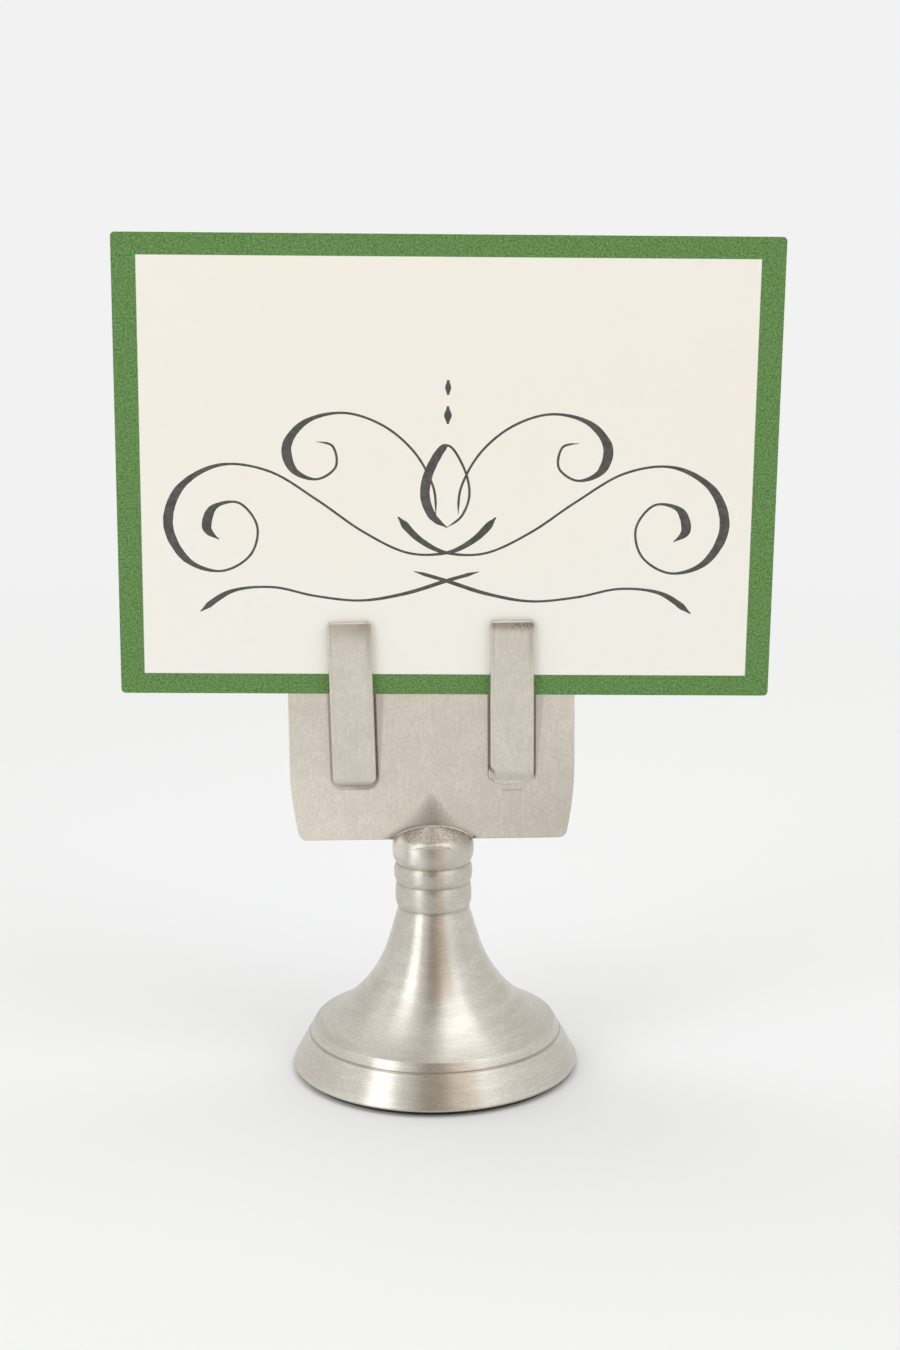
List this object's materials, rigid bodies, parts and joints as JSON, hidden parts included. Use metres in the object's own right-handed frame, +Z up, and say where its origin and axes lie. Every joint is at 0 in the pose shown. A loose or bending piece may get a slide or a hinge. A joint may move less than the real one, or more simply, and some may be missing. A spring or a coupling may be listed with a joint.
{
  "type": "place card holder",
  "caption": "Small table holder with a turned flared foot, beaded neck and upright plate whose spring fingers pinch a bordered paper card.",
  "frame": {"origin": "centre of the felt's underside, where the holder stands on the table", "axes": "+Z up along the neck, -Y towards the side that the card faces, +X to the right of someone reading the card"},
  "size_m": [0.0899, 0.0402, 0.1176],
  "materials": {
    "turned_metal": "fine turned brushing round the axis, warm silver",
    "sheet_metal": "fine upright brushing, warm silver, matt",
    "screw_metal": "zinc plated, satin",
    "felt": "dense dark felt",
    "card": "uncoated cream card with a printed green border"
  },
  "bodies": {
    "holder": {"foot": "turned_metal", "neck": "turned_metal", "back_plate": "sheet_metal", "left_finger": "sheet_metal", "right_finger": "sheet_metal", "tie_screw": "screw_metal", "lock_washer": "screw_metal", "felt_pad": "felt"},
    "card": {"place_card": "card"}
  },
  "joints": [
    {"name": "card_lift", "type": "slide", "parent": "holder", "child": "card", "axis": [0, -0.0313, 0.9995], "range_m": [0, 0.02]}
  ]
}
